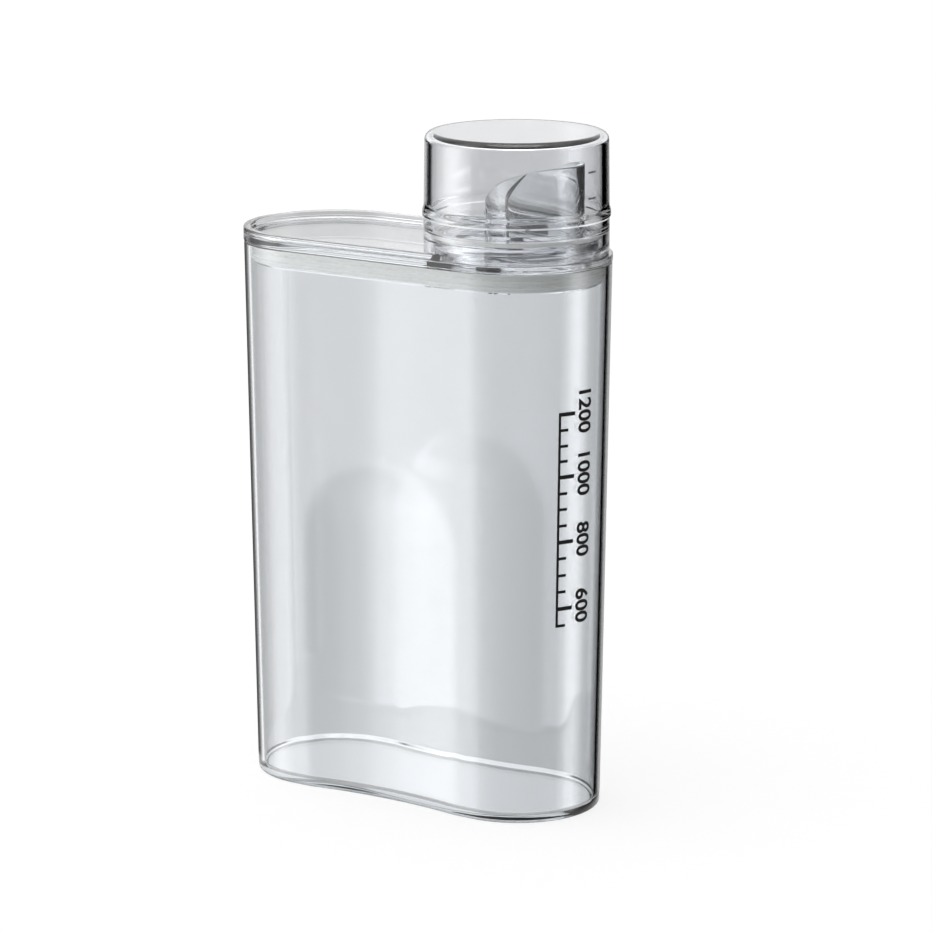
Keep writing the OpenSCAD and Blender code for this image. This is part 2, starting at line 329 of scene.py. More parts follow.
def neck_thread(x, y, z, r):
    """Raises the thread on the outside of the neck."""
    angle = np.arctan2(y, x - NECK_X)
    lift = np.where(r > NECK_R - 0.05, ridge(angle, z, PLATE_TOP + 1.1, 0.95, NECK_RIDGE), 0)
    scale = (r + lift) / r
    return NECK_X + (x - NECK_X) * scale, y * scale, z


# %% Plate, border and plug
BORDER_W, BORDER_H, LID_EDGE = 3.8, 2.6, 0.5
PLUG_H, PLUG_WALL = 7.8, 1.8
BORDER_TOP = PLATE_TOP + BORDER_H
BORDER_SLOPE, GROOVE = 1.1, 0.25
# A hair inside the CAD model, whose round ends are drawn with straight pieces
LID_R = END_R - 0.02
plug_low = CONTAINER_H - PLUG_H
gasket_low, gasket_back_r = CONTAINER_H - GASKET_H, PLUG_R + GASKET_T
lid_profile = rounded([
    (0, PLATE_TOP, 0),
    (END_R - BORDER_W, PLATE_TOP, 0.8),
    (END_R - BORDER_W + BORDER_SLOPE, BORDER_TOP, 0.4),
    (LID_R, BORDER_TOP, LID_EDGE),
    (LID_R, PLATE_TOP + 0.2, 0.1),
    (LID_R - GROOVE, PLATE_TOP, 0.05),
    (LID_R, PLATE_TOP - 0.2, 0.1),
    (LID_R, CONTAINER_H, LID_EDGE),
    (PLUG_R, CONTAINER_H, 0.2),
    (PLUG_R, gasket_low, 0.15),
    (gasket_back_r, gasket_low, 0.2),
    (PLUG_R, plug_low, 0.3),
    (PLUG_R - PLUG_WALL, plug_low, 0.4),
    (PLUG_R - PLUG_WALL, CONTAINER_H, 0.6),
    (0, CONTAINER_H, 0)], closed=False)
lid = sweep("lid_moulding", lid_profile, stadium_ring(72, 6))
print("lid points before its cuts", len(lid.data.vertices))

# %% Seat for the cup
# A tool reaches this far past what it cuts, and sideways clear of the whole end
PAST, ASIDE = 2, 60
carve(lid, round_tool("seat_tool", NECK_X, END_R + SKIRT_GAP, PLATE_TOP, BORDER_TOP + PAST, 144), "DIFFERENCE")
corners = [(x, y, z) for x in (NECK_X, NECK_X + ASIDE) for y in (-END_R - PAST, END_R + PAST)
           for z in (PLATE_TOP, BORDER_TOP + PAST)]
sides = [(0, 1, 3, 2), (4, 6, 7, 5), (0, 4, 5, 1), (2, 3, 7, 6), (0, 2, 6, 4), (1, 5, 7, 3)]
carve(lid, piece("end_tool", corners, sides), "DIFFERENCE")

# %% Neck
NECK_INNER_R = NECK_BORE_R - 0.6
neck_profile = rounded([
    (NECK_INNER_R, PLATE_TOP - 1, 0),
    (NECK_R, PLATE_TOP - 1, 0),
    (NECK_R, NECK_TOP - HAIR, 0.4),
    (NECK_INNER_R, NECK_TOP - HAIR, 0)], closed=True)
neck_profile = with_rows(neck_profile + neck_profile[:1], PLATE_TOP - 1.1, NECK_TOP, 0.22)[:-1]
neck = sweep("neck_tool", neck_profile, round_ring(NECK_X, 216), closed=True, reshape=neck_thread)
carve(lid, neck, "UNION")
bore = round_tool("bore_tool", NECK_X, NECK_BORE_R, CONTAINER_H - PAST, NECK_TOP + PAST, 216)
carve(lid, bore, "DIFFERENCE")
crisp(lid)
print("lid points", len(lid.data.vertices))

# %% [markdown]
# ## Gasket
# A moulded silicone ring with three soft lips that wipe the container's wall. Its section is one closed
# profile, carried round the stadium.

# %% Gasket
LIP_REACH, LIP_COUNT = 0.9, 3


def gasket_profile():
    """Back wall and lips of the gasket as one closed section."""
    low, back_r = gasket_low, gasket_back_r
    pitch = GASKET_H / LIP_COUNT
    corners = [(PLUG_R + HAIR, low + HAIR, 0.1), (back_r, low + HAIR, 0.15)]
    for i in range(LIP_COUNT):
        z = low + (i + 0.2) * pitch
        corners += [(back_r, z, 0.2), (back_r + LIP_REACH, z + pitch * 0.45, 0.12),
                    (back_r + LIP_REACH, z + pitch * 0.6, 0.12), (back_r, z + pitch * 0.7, 0.2)]
    corners += [(back_r, CONTAINER_H - HAIR, 0.1), (PLUG_R + HAIR, CONTAINER_H - HAIR, 0.1)]
    return rounded(corners, closed=True)


gasket = sweep("gasket_ring", gasket_profile(), stadium_ring(72, 6), closed=True)
print("gasket points", len(gasket.data.vertices))

# %% [markdown]
# ## Pouring spout
# A clear insert pressed into the neck. Its dish catches drips and falls towards the slot, so that they
# run back. The tube is a wall bent into a C, and its mouth rises in a curve from the slot to the tip.
# The wall is made spoke by spoke, because its height changes all the way round.

# %% Spout sizes
DISH_R, DISH_WALL, DISH_FLOOR, DISH_FALL = 28.15, 1.4, 1.8, 1.2
SPOUT_X, SPOUT_R, SPOUT_WALL = 48.6, 18.4, 2.0
MOUTH_H, MOUTH_ROUND, TIP_H, TIP_FLAT = 10.9, 1.6, 34.2, 2.0
SLOT_W = 13.0
DISH_LOW = CONTAINER_H + DISH_FLOOR
DISH_INNER_R = DISH_R - DISH_WALL
# Radius of the rounding along the mouth and the slot
EDGE = 0.55
SLOT_X = math.sqrt(SPOUT_R ** 2 - (SLOT_W / 2) ** 2)
print("slot edge", round(SLOT_X, 1), "mm behind the tube's axis")


def mouth_z(x):
    """Height of the mouth over x, counted from the tube's axis."""
    u = np.clip((x + SLOT_X) / (SLOT_X + SPOUT_R - TIP_FLAT), 0, 1)
    return PLATE_TOP + MOUTH_H + (TIP_H - MOUTH_H) * math.sqrt(1 - (1 - u) ** MOUTH_ROUND)


def dish_fall(x, y, z, r):
    """Tilts the top of the dish's floor towards the slot."""
    floor = (r < DISH_INNER_R + 0.01) & (z > CONTAINER_H + 0.5) & (z < DISH_LOW + 1.5)
    return x, y, np.where(floor, z + DISH_FALL * (x - NECK_X + DISH_R) / (2 * DISH_R), z)


# %% Dish and flange
dish_profile = rounded([
    (0, CONTAINER_H, 0),
    (DISH_R, CONTAINER_H, 0.3),
    (DISH_R, NECK_TOP, 0.1),
    (NECK_R, NECK_TOP, 0.2),
    (NECK_R, FLANGE_TOP, 0.35),
    (DISH_INNER_R, FLANGE_TOP, 0.35),
    (DISH_INNER_R, DISH_LOW, 0.8),
    (0, DISH_LOW, 0)], closed=False)
spout = sweep("spout_insert", dish_profile, round_ring(NECK_X, 180), reshape=dish_fall)
print("dish points", len(spout.data.vertices))


# %% Tube
# Spokes round the tube between the roundings of the slot
TUBE_SPOKES = 130


def tube_wall():
    """The C-shaped wall as a mesh: rounded along its mouth and along both edges of the slot."""
    mid, half = SPOUT_R - SPOUT_WALL / 2, SPOUT_WALL / 2
    slot = math.asin((SLOT_W / 2) / mid)
    edge_turns = [(slot + EDGE * (1 - math.sin(t)) / mid, half - EDGE * (1 - math.cos(t)))
                  for t in [k / 5 * math.pi / 2 for k in range(5, -1, -1)]]
    first, last = edge_turns[-1][0], 2 * math.pi - edge_turns[-1][0]
    turns = edge_turns + [(first + (last - first) * k / TUBE_SPOKES, half) for k in range(1, TUBE_SPOKES)]
    turns += [(2 * math.pi - a, h) for a, h in reversed(edge_turns)]
    verts, faces, count = [], [], 0
    for turn, h in turns:
        a = math.pi + turn
        drop = half - h
        section = [(mid + h, CONTAINER_H + 1.0)]
        section += [(mid + h - EDGE * (1 - math.cos(t)), -EDGE * (1 - math.sin(t)) - drop)
                    for t in [k / 4 * math.pi / 2 for k in range(5)]]
        section += [(mid - h + EDGE * (1 - math.sin(t)), -EDGE * (1 - math.cos(t)) - drop)
                    for t in [k / 4 * math.pi / 2 for k in range(5)]]
        section += [(mid - h, CONTAINER_H + 1.0)]
        count = len(section)
        for i, (r, z) in enumerate(section):
            x = r * math.cos(a)
            verts.append((SPOUT_X + x, r * math.sin(a), z if i in (0, count - 1) else z + mouth_z(x)))
    rings = len(turns)
    for i in range(rings - 1):
        here, there = i * count, (i + 1) * count
        faces += [(here + j, there + j, there + (j + 1) % count, here + (j + 1) % count) for j in range(count)]
    faces += [tuple(range(count)), tuple(range((rings - 1) * count, rings * count))]
    return piece("tube_tool", verts, faces)


carve(spout, tube_wall(), "UNION")
# The tube's bore goes through the dish's floor and stops above it, where the wall has its own bore
core = round_tool("core_tool", SPOUT_X, SPOUT_R - SPOUT_WALL, CONTAINER_H - 1, DISH_LOW + 3.2, 144)
carve(spout, core, "DIFFERENCE")
crisp(spout)
print("spout points", len(spout.data.vertices))

# %% [markdown]
# ## Measuring cup
# The cap is a cup turned upside down: a threaded skirt, a bead for the fingers and a slightly tapered
# measure above it. One profile runs up the outside and down the inside. The thread is raised on the
# skirt's bore in the same way as on the neck.

# %% Sizes of the seal and the measuring cup
CUP_H, SKIRT_H, BEAD_H = 44.7, 13.1, 4.2
SKIRT_R, SKIRT_BORE_R, CUP_TOP_R, CUP_WALL, CUP_TOP_T = 34.5, 32.0, 34.1, 2.6, 2.5
CUP_EDGE, BEAD_OUT = 3.0, 0.5
SEAL_W, SEAL_R, SEAL_RIB = 2.6, 31.8, 1.2
MARK_W, MARK_T, MARK_OUT, MARK_ANGLE = 4.0, 0.7, 0.3, -4.0
MARK_ML = 30
CUP_TOP_Z = SKIRT_Z + CUP_H
RING_Z = SKIRT_Z + SKIRT_H
BEAD_TOP_Z = RING_Z + BEAD_H
print("cup top", CUP_TOP_Z)

# %% Measuring cup
def cup_r(z):
    """Outer radius of the cup between its bead and its closed end."""
    return SKIRT_R - (SKIRT_R - CUP_TOP_R) * (z - RING_Z) / (CUP_TOP_Z - RING_Z)


def skirt_thread(x, y, z, r):
    """Raises the thread inside the skirt, towards the neck."""
    angle = np.arctan2(y, x - NECK_X)
    inside = np.abs(r - SKIRT_BORE_R) < 0.01
    lift = np.where(inside, ridge(angle + 1.0, z, SKIRT_Z + 1.4, 1.0, 0.15), 0)
    scale = (r - lift) / np.maximum(r, 1e-6)
    scale = np.where(r < 1e-6, 1, scale)
    return NECK_X + (x - NECK_X) * scale, y * scale, z


RIB_Z = FLANGE_TOP + SEAL_T + SEAL_GAP
# The bead's lower edge is a short slope, which draws the white line round the cup
BEAD_SLOPE = 0.7
# In the moulding the rib is a soft swelling, lower than the solid's
RIB_R = SKIRT_BORE_R - 0.3 * SEAL_RIB
MEASURE_R = cup_r(BEAD_TOP_Z) - CUP_WALL
CUP_INNER_TOP_Z = CUP_TOP_Z - CUP_TOP_T
CUP_INNER_TOP_R = CUP_TOP_R - CUP_WALL
cup_profile = rounded([
    (0, CUP_TOP_Z, 0), (CUP_TOP_R, CUP_TOP_Z, CUP_EDGE), (cup_r(BEAD_TOP_Z), BEAD_TOP_Z, 3.5),
    (SKIRT_R + BEAD_OUT, BEAD_TOP_Z - 3.2 * BEAD_OUT, 3.5), (SKIRT_R + BEAD_OUT, RING_Z + BEAD_SLOPE, 0.2),
    (SKIRT_R, RING_Z, 0.2),
    (SKIRT_R, SKIRT_Z, 0.35), (SKIRT_BORE_R, SKIRT_Z, 0.35), (SKIRT_BORE_R, RIB_Z, 0.8),
    (RIB_R, RIB_Z + 0.5 * SEAL_RIB, 0.8), (MEASURE_R, RIB_Z + 2 * SEAL_RIB, 2.0),
    (CUP_INNER_TOP_R, CUP_INNER_TOP_Z, CUP_EDGE / 4), (0, CUP_INNER_TOP_Z, 0)], closed=False)
cup_profile = with_rows(cup_profile, SKIRT_Z, RIB_Z, 0.25)
cup = sweep("measuring_cup_shell", cup_profile, round_ring(NECK_X, 216), reshape=skirt_thread)
print("cup points", len(cup.data.vertices))

# %% [markdown]
# ## Seal ring
# A flat silicone ring lies on the spout's flange, where the rib inside the cup presses on it. It keeps the
# contents in when the bottle falls over. Like the gasket, it is a small closed section carried round.

# %% Seal ring
seal = sweep("seal_ring", rounded([
    (SEAL_R - SEAL_W, FLANGE_TOP + HAIR, 0.2), (SEAL_R, FLANGE_TOP + HAIR, 0.2),
    (SEAL_R, FLANGE_TOP + SEAL_T, 0.25), (SEAL_R - SEAL_W, FLANGE_TOP + SEAL_T, 0.25)], closed=True),
    round_ring(NECK_X, 160), closed=True)

# %% [markdown]
# ## Marks on the curved walls
# Strokes and numerals are first made flat, with s along the wall and t upwards, and are then bent round
# a vertical axis. A flat shape is cut into narrow strips beforehand, so that it can follow the curve.

# %% Flat shapes
def bar(s0, s1, t0, t1):
    """A flat bar as a list of its four corners."""
    return [(s0, t0), (s1, t0), (s1, t1), (s0, t1)]


def numeral(text, height, s, t, quarter_turns=0):
    """Outline mesh of a generic numeral, centred on s, t and turned clockwise by quarter turns."""
    curve = bpy.data.curves.new("numeral", "FONT")
    curve.body, curve.size = text, height / 0.7
    curve.align_x, curve.align_y = "CENTER", "CENTER"
    # A bolder stroke, as screen printing leaves it
    curve.offset = 0.036 * height
    holder = bpy.data.objects.new("numeral", curve)
    bpy.context.scene.collection.objects.link(holder)
    mesh = bpy.data.meshes.new_from_object(holder.evaluated_get(bpy.context.evaluated_depsgraph_get()))
    bpy.data.objects.remove(holder)
    xy = np.array([v.co[:2] for v in mesh.vertices])
    xy -= (xy.min(0) + xy.max(0)) / 2
    for _ in range(quarter_turns):
        xy = np.stack([xy[:, 1], -xy[:, 0]], 1)
    return [tuple(p) for p in xy + (s, t)], [tuple(f.vertices) for f in mesh.polygons]


def wrap(name, shapes, strip, place, inner, outer):
    """Bends flat shapes round a wall as one closed piece. place(s, t, lift) gives a point in mm."""
    bm = bmesh.new()
    for points, faces in shapes:
        verts = [bm.verts.new((a, b, 0)) for a, b in points]
        for face in faces:
            bm.faces.new([verts[i] for i in face])
    bmesh.ops.remove_doubles(bm, verts=bm.verts, dist=0.001)
    low, high = min(v.co.x for v in bm.verts), max(v.co.x for v in bm.verts)
    for k in range(1, math.ceil((high - low) / strip)):
        cut = bm.verts[:] + bm.edges[:] + bm.faces[:]
        bmesh.ops.bisect_plane(bm, geom=cut, plane_co=(low + k * strip, 0, 0), plane_no=(1, 0, 0))
    made = bmesh.ops.extrude_face_region(bm, geom=bm.faces[:])
    top = {v for v in made["geom"] if isinstance(v, bmesh.types.BMVert)}
    for v in bm.verts:
        v.co = Vector(place(v.co.x, v.co.y, outer if v in top else inner)) * MM
    bmesh.ops.recalc_face_normals(bm, faces=bm.faces)
    mesh = bpy.data.meshes.new(name)
    bm.to_mesh(mesh)
    bm.free()
    made = bpy.data.objects.new(name, mesh)
    bpy.context.scene.collection.objects.link(made)
    return made


QUAD = [(0, 1, 2, 3)]

# %% [markdown]
# ## Graduations on the cup
# Two raised strokes stand 30 ml apart, counted from the closed end, because that is the cup's floor
# when it is filled. The volume of a slice of the measure gives their distance.

# %% Graduations
MARK_STEP = MARK_ML * 1000 / (math.pi * CUP_INNER_TOP_R ** 2)


def on_cup(s, t, lift):
    """A point on the cup's wall: s to the right of the marks' direction, t the height."""
    r = cup_r(t)
    turn = math.radians(MARK_ANGLE) + s / r
    return NECK_X + (r + lift) * math.cos(turn), (r + lift) * math.sin(turn), t


marks_t = [CUP_INNER_TOP_Z - i * MARK_STEP for i in (1, 2)]
mark_shapes = [(bar(-MARK_W / 2, MARK_W / 2, t - MARK_T / 2, t + MARK_T / 2), QUAD) for t in marks_t]
marks = wrap("graduations", mark_shapes, 0.8, on_cup, HAIR, MARK_OUT)
print("graduation step in mm", round(MARK_STEP, 2))

# %% [markdown]
# ## Fill scale on the container
# The real bottle carries a printed word here. A plain fill scale takes its place: its numbers are the
# volumes up to each tick, added up slice by slice from the cavity's own cross-section.

# %% Fill scale
def cavity_area(z):
    """Area of the container's cavity at height z, in square millimetres."""
    r = wall_r(z)
    x = np.linspace(-END_X, END_X, 400)
    sunk = float(np.mean(grip_depth_at(x, np.full_like(x, z)))) * 2 * END_X
    return math.pi * r * r + 4 * r * END_X - 2 * sunk


def fill_height(volume_ml):
    """Height at which the container holds a volume."""
    z, held, step = FLOOR_T, 0.0, 0.25
    while held < volume_ml * 1000:
        held += cavity_area(z + step / 2) * step
        z += step
    return z


SCALE_TURN = math.radians(-15)
SCALE_LINE, TICK, LONG_TICK, NUMERAL_S = -9.0, 3.6, 6.6, 2.6


def on_container(s, t, lift):
    """A point on the container's right end: s to the right of the scale's direction, t the height."""
    r = BASE_R + DRAFT * t / CONTAINER_H
    turn = SCALE_TURN + s / r
    return END_X + (r + lift) * math.cos(turn), (r + lift) * math.sin(turn), t


# Half widths of line, short and long ticks, numeral height, strip for bending, thickness of ink
LINE_HALF, THIN_HALF, THICK_HALF, NUMERAL_H, SCALE_STRIP, INK_T = 0.5, 0.55, 0.75, 6.2, 1.2, 0.09
scale_shapes = []
levels = [(v, fill_height(v)) for v in range(550, 1201, 50)]
for volume, t in levels:
    long = volume % 200 == 0
    end = SCALE_LINE + (LONG_TICK if long else TICK)
    half = THICK_HALF if long else THIN_HALF
    scale_shapes.append((bar(SCALE_LINE + LINE_HALF, end, t - half, t + half), QUAD))
    if long:
        scale_shapes.append(numeral(str(volume), NUMERAL_H, NUMERAL_S, t, 1))
low_end, high_end = levels[0][1] - THIN_HALF, levels[-1][1] + THICK_HALF
scale_shapes.append((bar(SCALE_LINE - LINE_HALF, SCALE_LINE + LINE_HALF, low_end, high_end), QUAD))
scale = wrap("fill_scale", scale_shapes, SCALE_STRIP, on_container, HAIR, INK_T)
print("fill levels", [(v, round(t, 1)) for v, t in levels])

# %% [markdown]
# ## Finishes
# One function turns a written colour into the linear numbers that Blender mixes, and one adds a node.

# %% Colour and node helpers
def linear(code):
    """An sRGB hex colour such as "9fb3c1" as linear RGBA."""
    parts = [int(code[i:i + 2], 16) / 255 for i in (0, 2, 4)]
    return tuple(c / 12.92 if c <= 0.04045 else ((c + 0.055) / 1.055) ** 2.4 for c in parts) + (1.0,)


def add(tree, kind, inputs=None, **settings):
    """Adds a node, applies its settings and fills its inputs with values or links."""
    made = tree.nodes.new(kind)
    for name, value in settings.items():
        setattr(made, name, value)
    for key, value in (inputs or {}).items():
        if isinstance(value, bpy.types.NodeSocket):
            tree.links.new(value, made.inputs[key])
        else:
            made.inputs[key].default_value = value
    return made


def new_material(name):
    """A material with an empty node tree."""
    made = bpy.data.materials.new(name)
    made.use_nodes = True
    made.node_tree.nodes.clear()
    return made


# %% [markdown]
# ## Clear plastic
# The mouldings are styrene-acrylonitrile, a stiff clear plastic that is used for food boxes and cups. The
# eye knows it by sharp mirror images, a clean view through it and dark outlines where it turns away. Its
# refractive index of 1.57 bends the view. Faint waves come from the melt's flow and a slight haze from
# handling, so the gloss isn't the same everywhere. A little absorption makes thick edges blue-grey. A
# glass shader would bend light as well, but has no room for the tint of the skin.

# %% Clear plastic
def clear_plastic(name, absorption, tint):
    """Injection-moulded clear styrene-acrylonitrile: glossy, with faint flow waves and handling haze."""
    made = new_material(name)
    tree = made.node_tree
    place = add(tree, "ShaderNodeTexCoord").outputs["Object"]
    # Flow waves about 9 mm long, 1/100 mm high
    waves = add(tree, "ShaderNodeTexNoise", {"Vector": place, "Scale": 1 / 0.009, "Detail": 1.5})
    # Handling haze in clouds of about 4 mm
    haze = add(tree, "ShaderNodeTexNoise", {"Vector": place, "Scale": 1 / 0.004, "Detail": 3.0})
    rough = add(tree, "ShaderNodeMapRange", {"Value": haze.outputs["Fac"], "From Min": 0.3, "From Max": 0.75,
                                            "To Min": 0.008, "To Max": 0.022})
    bump = add(tree, "ShaderNodeBump", {
        "Height": waves.outputs["Fac"], "Strength": 0.2, "Distance": 0.00001})
    skin = add(tree, "ShaderNodeBsdfPrincipled", {
        "Base Color": linear(tint), "Roughness": rough.outputs["Result"], "IOR": 1.57,
        "Transmission Weight": 1.0, "Normal": bump.outputs["Normal"]})
    body = add(tree, "ShaderNodeVolumeAbsorption", {"Color": linear("bdc6cd"), "Density": absorption})
    add(tree, "ShaderNodeOutputMaterial", {
        "Surface": skin.outputs["BSDF"], "Volume": body.outputs["Volume"]})
    return made


clear_container = clear_plastic("clear_moulded_styrene_container", 9.0, "f9fbfd")
clear_lid = clear_plastic("clear_moulded_styrene_lid", 9.0, "fbfcfe")
clear_spout = clear_plastic("clear_moulded_styrene_spout", 9.0, "fcfdfe")
clear_cup = clear_plastic("clear_moulded_styrene_cup", 9.0, "fbfcfe")

# %% [markdown]
# ## Silicone
# Gasket and seal are pressed from translucent white silicone. It looks soft, because light enters it and
# comes out beside the place where it went in, and satin, because the mould is not polished. The grain of
# such a mould is about 0.05 mm, which no picture of a whole bottle shows, so it is drawn at 0.6 mm.

# %% Silicone
silicone = new_material("satin_moulded_silicone")
tree = silicone.node_tree
place = add(tree, "ShaderNodeTexCoord").outputs["Object"]
grain = add(tree, "ShaderNodeTexNoise", {"Vector": place, "Scale": 1 / 0.0006, "Detail": 3.0})
cloud = add(tree, "ShaderNodeTexNoise", {"Vector": place, "Scale": 1 / 0.012, "Detail": 2.0})
tint = add(tree, "ShaderNodeMix", {"Factor": cloud.outputs["Fac"], 6: linear("dedfdb"), 7: linear("eeeeea")},
           data_type="RGBA")
bump = add(tree, "ShaderNodeBump", {"Height": grain.outputs["Fac"], "Strength": 0.2, "Distance": 0.00003})
skin = add(tree, "ShaderNodeBsdfPrincipled", {
    "Base Color": tint.outputs[2], "Roughness": 0.42, "IOR": 1.41, "Subsurface Weight": 0.35,
    "Subsurface Radius": (0.003, 0.003, 0.003), "Subsurface Scale": 1.0, "Normal": bump.outputs["Normal"]})
add(tree, "ShaderNodeOutputMaterial", {"Surface": skin.outputs["BSDF"]})

# %% [markdown]
# ## Moulded marks
# The cup's graduations are left rough in the polished mould by spark erosion. The same clear plastic
# scatters the light there, so the marks look grey. Their pits are drawn at 0.2 mm; real ones are finer.

# %% Frosted marks
frosted = new_material("spark_eroded_moulded_marks")
tree = frosted.node_tree
place = add(tree, "ShaderNodeTexCoord").outputs["Object"]
pits = add(tree, "ShaderNodeTexNoise", {"Vector": place, "Scale": 1 / 0.0002, "Detail": 2.0})
bump = add(tree, "ShaderNodeBump", {"Height": pits.outputs["Fac"], "Strength": 0.5, "Distance": 0.00004})
skin = add(tree, "ShaderNodeBsdfPrincipled", {
    "Base Color": linear("8b8f94"), "Roughness": 0.5, "IOR": 1.57, "Transmission Weight": 0.6,
    "Normal": bump.outputs["Normal"]})
add(tree, "ShaderNodeOutputMaterial", {"Surface": skin.outputs["BSDF"]})

# %% [markdown]
# ## Ink
# The fill scale is screen-printed with matt black ink. A screen leaves the ink slightly uneven, in the
# size of its mesh. A real mesh is about 0.1 mm and is drawn at 0.4 mm, so that it can show close up.

# %% Ink
ink = new_material("screen_printed_black_ink")
tree = ink.node_tree
place = add(tree, "ShaderNodeTexCoord").outputs["Object"]
mesh_marks = add(tree, "ShaderNodeTexNoise", {"Vector": place, "Scale": 1 / 0.0004, "Detail": 2.0})
tone = add(tree, "ShaderNodeMix", {"Factor": mesh_marks.outputs["Fac"], 6: linear("050506"), 7: linear("101011")},
           data_type="RGBA")
bump = add(tree, "ShaderNodeBump", {"Height": mesh_marks.outputs["Fac"], "Strength": 0.3, "Distance": 0.00002})
skin = add(tree, "ShaderNodeBsdfPrincipled", {
    "Base Color": tone.outputs[2], "Roughness": 0.7, "IOR": 1.5, "Specular IOR Level": 0.2,
    "Normal": bump.outputs["Normal"]})
add(tree, "ShaderNodeOutputMaterial", {"Surface": skin.outputs["BSDF"]})

# %% [markdown]
# ## Dress and attach
# Each piece gets its finish and rides on its CAD body, so that it moves with the joints. It takes the place
# of its plain CAD solid, which stays for collisions. Marks and scale stand for no solid of their own.

# %% Dress and attach
PLAN = (
    (container, clear_container, "container", "container", "clear_container"),
    (lid, clear_lid, "lid", "lid", "clear_lid"),
    (gasket, silicone, "lid", "lid_gasket", "silicone"),
    (spout, clear_spout, "lid", "pour_spout", "clear_spout"),
    (seal, silicone, "cup_seal", "cup_seal", "silicone"),
    (cup, clear_cup, "measuring_cup", "measuring_cup", "clear_cup"),
    (marks, frosted, "measuring_cup", None, "clear_cup"),
    (scale, ink, "container", None, "print"),
)
for made, finish, body, node, slot in PLAN:
    made.data.materials.clear()
    made.data.materials.append(finish)
    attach(made, body)
    if node:
        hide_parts(node)
print("pieces", [made.name for made, *_ in PLAN])

# %% [markdown]
# ## Studio
# Clear plastic shows what is around it, so the light is a ring of bands by direction: a big softbox at
# the front left, a slim one at the back right and dark gaps between them, which draw the edges. The
# bands lie in the sky and, for mirror images only, on the floor, which the upright walls mirror.

# %% Studio bands
# Brightness in a mirror image by direction round the bottle: 0 is the front, 90 the cup's side
NEAR_BANDS = (
    (-180, 0), (-175, 0), (-168, 0.45), (-153, 0.5), (-147, 0.35), (-143, 0), (-117, 0.2),
    (-111, 1.2), (-100, 0.7), (-95, 0.6), (-79, 1.2), (-66, 2.4), (-58, 3.1), (-50, 3.15),
    (-41, 2.8), (-34, 2.35), (-27, 1.7), (-20, 1.1), (-12, 0.75), (5, 0.4), (45, 0.3),
    (86, 0.1), (97, 0.9), (106, 2.1), (115, 2.2), (124, 1.3), (136, 0.3), (160, 0))
FAR_BANDS = (
    (-180, 0), (-169, 0), (-162, 0.45), (-152, 0.5), (-146, 0.65), (-128, 0.65), (-121, 0),
    (-107, 0), (-98, 0.4), (-79, 1.4), (-66, 3.0), (-56, 3.9), (-48, 3.9), (-41, 3.3),
    (-34, 2.4), (-27, 1.7), (-20, 1.1), (-12, 0.8), (5, 0.6), (45, 0.6), (86, 0.3),
    (106, 0.25), (136, 0.3), (150, 0.2), (160, 0))
SKY_BANDS = (
    (-180, 0.9), (-146, 1.0), (-100, 1.0), (-92, 0.6), (-79, 1.2), (-56, 3.0), (-41, 2.6),
    (-27, 1.5), (-12, 0.8), (45, 0.6), (86, 0.6), (106, 1.6), (124, 1.2), (150, 0.9))
# A softbox overhead with its lamp in the middle, which draws the white lines along the rounded edges
OVERHEAD, ZENITH = 1.9, 4.5
# Share of the backdrop that is seen through the plastic: straight on it is whole, bent far aside it is darker
THROUGH_BANDS = (
    (-180, 0.35), (-174, 0.6), (-166, 0.9), (-157, 1), (-134, 1), (-125, 0.9), (-116, 0.85),
    (-100, 0.85), (-60, 1.0), (0, 0.9), (120, 0.9), (150, 0.4), (165, 0.15))
# Plain light on silicone, ink and floor: stronger from the front left, about 1 on average
PLAIN_BANDS = ((-180, 0.65), (-60, 1.6), (60, 0.65), (120, 0.5))
# Colour ramps hold values up to 1, so the levels are written as shares of this
TOP_LEVEL = 4.0
# Backdrop seen through the plastic, near the bottle and further off; the cut-out white is only straight on
THROUGH_NEAR, THROUGH_FAR = 0.53, 0.60
# Level of the bright table straight below and of the bright wall high up behind, where plastic bends the view to them
BELOW, ABOVE = 0.95, 1.0
# Plain light is this much stronger where it reaches silicone through a wall, which takes a part of it
PLAIN_INSIDE = 1.3
# From this distance in metres on, the further bands lie on the floor itself
NEAR_RADIUS = 1.3
# Brightness of the floor in a mirror image, in front of the bottle and, as a painted shadow, under it
BESIDE, PAINTED_SHADOW_UNDER = 0.95, 0.35


def band_light(tree, direction, bands):
    """Brightness of the studio in a mirror image, by the direction or place that is mirrored."""
    parts = add(tree, "ShaderNodeSeparateXYZ", {"Vector": direction})
    front = add(tree, "ShaderNodeMath", {0: parts.outputs["Y"], 1: -1.0}, operation="MULTIPLY")
    turn = add(tree, "ShaderNodeMath", {0: parts.outputs["X"], 1: front.outputs[0]}, operation="ARCTAN2")
    place = add(tree, "ShaderNodeMapRange", {"Value": turn.outputs[0], "From Min": -math.pi, "From Max": math.pi})
    ramp = add(tree, "ShaderNodeValToRGB", {"Fac": place.outputs["Result"]})
    ramp.color_ramp.interpolation = "EASE"
    stops = ramp.color_ramp.elements
    while len(stops) > 1:
        stops.remove(stops[-1])
    for i, (angle, level) in enumerate(bands):
        stop = stops[0] if i == 0 else stops.new((angle + 180) / 360)
        stop.position = (angle + 180) / 360
        stop.color = (level / TOP_LEVEL,) * 3 + (1,)
    return add(tree, "ShaderNodeMath", {0: ramp.outputs["Color"], 1: TOP_LEVEL}, operation="MULTIPLY").outputs[0]


def pick(tree, factor, first, second):
    """First where factor is 0, second where it is 1."""
    return add(tree, "ShaderNodeMix", {"Factor": factor, 2: first, 3: second}, data_type="FLOAT").outputs[0]


def times(tree, first, second):
    """Product of two values."""
    return add(tree, "ShaderNodeMath", {0: first, 1: second}, operation="MULTIPLY").outputs[0]


